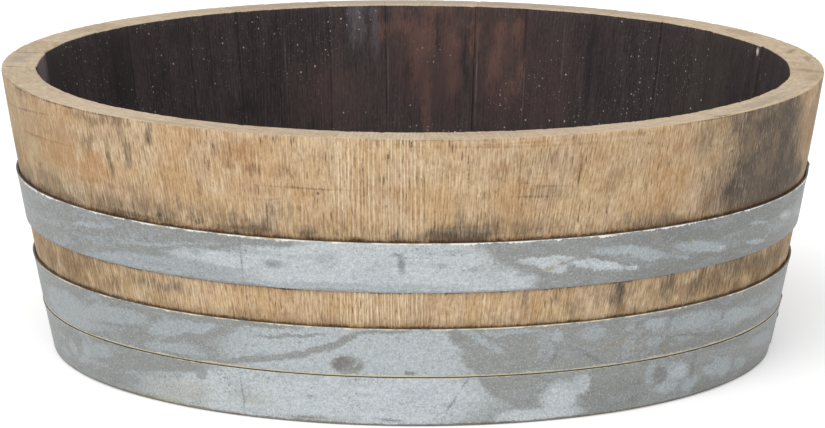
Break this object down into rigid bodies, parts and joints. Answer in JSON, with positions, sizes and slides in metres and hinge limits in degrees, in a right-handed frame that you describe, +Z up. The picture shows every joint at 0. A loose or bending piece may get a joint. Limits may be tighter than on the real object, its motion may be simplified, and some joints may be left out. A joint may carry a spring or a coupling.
{
  "type": "barrel planter",
  "caption": "Low round planter coopered from oak staves under three riveted steel hoops, with a boarded, drained bottom and a sawn open rim.",
  "frame": {"origin": "centre of the base, on the ground that the stave ends rest on", "axes": "+Z up along the planter's axis, -Y towards the side that the picture shows, +X to that view's right"},
  "size_m": [0.6796, 0.6796, 0.234],
  "materials": {
    "stave_oak": "weathered oak, golden tan outside and wine stained inside",
    "head_oak": "wine stained oak",
    "dowel_oak": "plain oak",
    "galvanised_steel": "galvanised, dull, with darker blotches",
    "rivet_steel": "dull steel"
  },
  "bodies": {
    "root": {"stave_01": "stave_oak", "stave_02": "stave_oak", "stave_03": "stave_oak", "stave_04": "stave_oak", "stave_05": "stave_oak", "stave_06": "stave_oak", "stave_07": "stave_oak", "stave_08": "stave_oak", "stave_09": "stave_oak", "stave_10": "stave_oak", "stave_11": "stave_oak", "stave_12": "stave_oak", "stave_13": "stave_oak", "stave_14": "stave_oak", "stave_15": "stave_oak", "stave_16": "stave_oak", "stave_17": "stave_oak", "stave_18": "stave_oak", "stave_19": "stave_oak", "stave_20": "stave_oak", "stave_21": "stave_oak", "stave_22": "stave_oak", "stave_23": "stave_oak", "stave_24": "stave_oak", "stave_25": "stave_oak", "stave_26": "stave_oak", "stave_27": "stave_oak", "stave_28": "stave_oak", "stave_29": "stave_oak", "stave_30": "stave_oak", "head_board_1": "head_oak", "head_board_2": "head_oak", "head_board_3": "head_oak", "head_board_4": "head_oak", "head_board_5": "head_oak", "head_board_6": "head_oak", "head_board_7": "head_oak", "head_dowels": "dowel_oak", "upper_hoop": "galvanised_steel", "lower_hoop": "galvanised_steel", "chime_hoop": "galvanised_steel", "upper_hoop_rivets": "rivet_steel", "lower_hoop_rivets": "rivet_steel", "chime_hoop_rivets": "rivet_steel"}
  },
  "joints": []
}
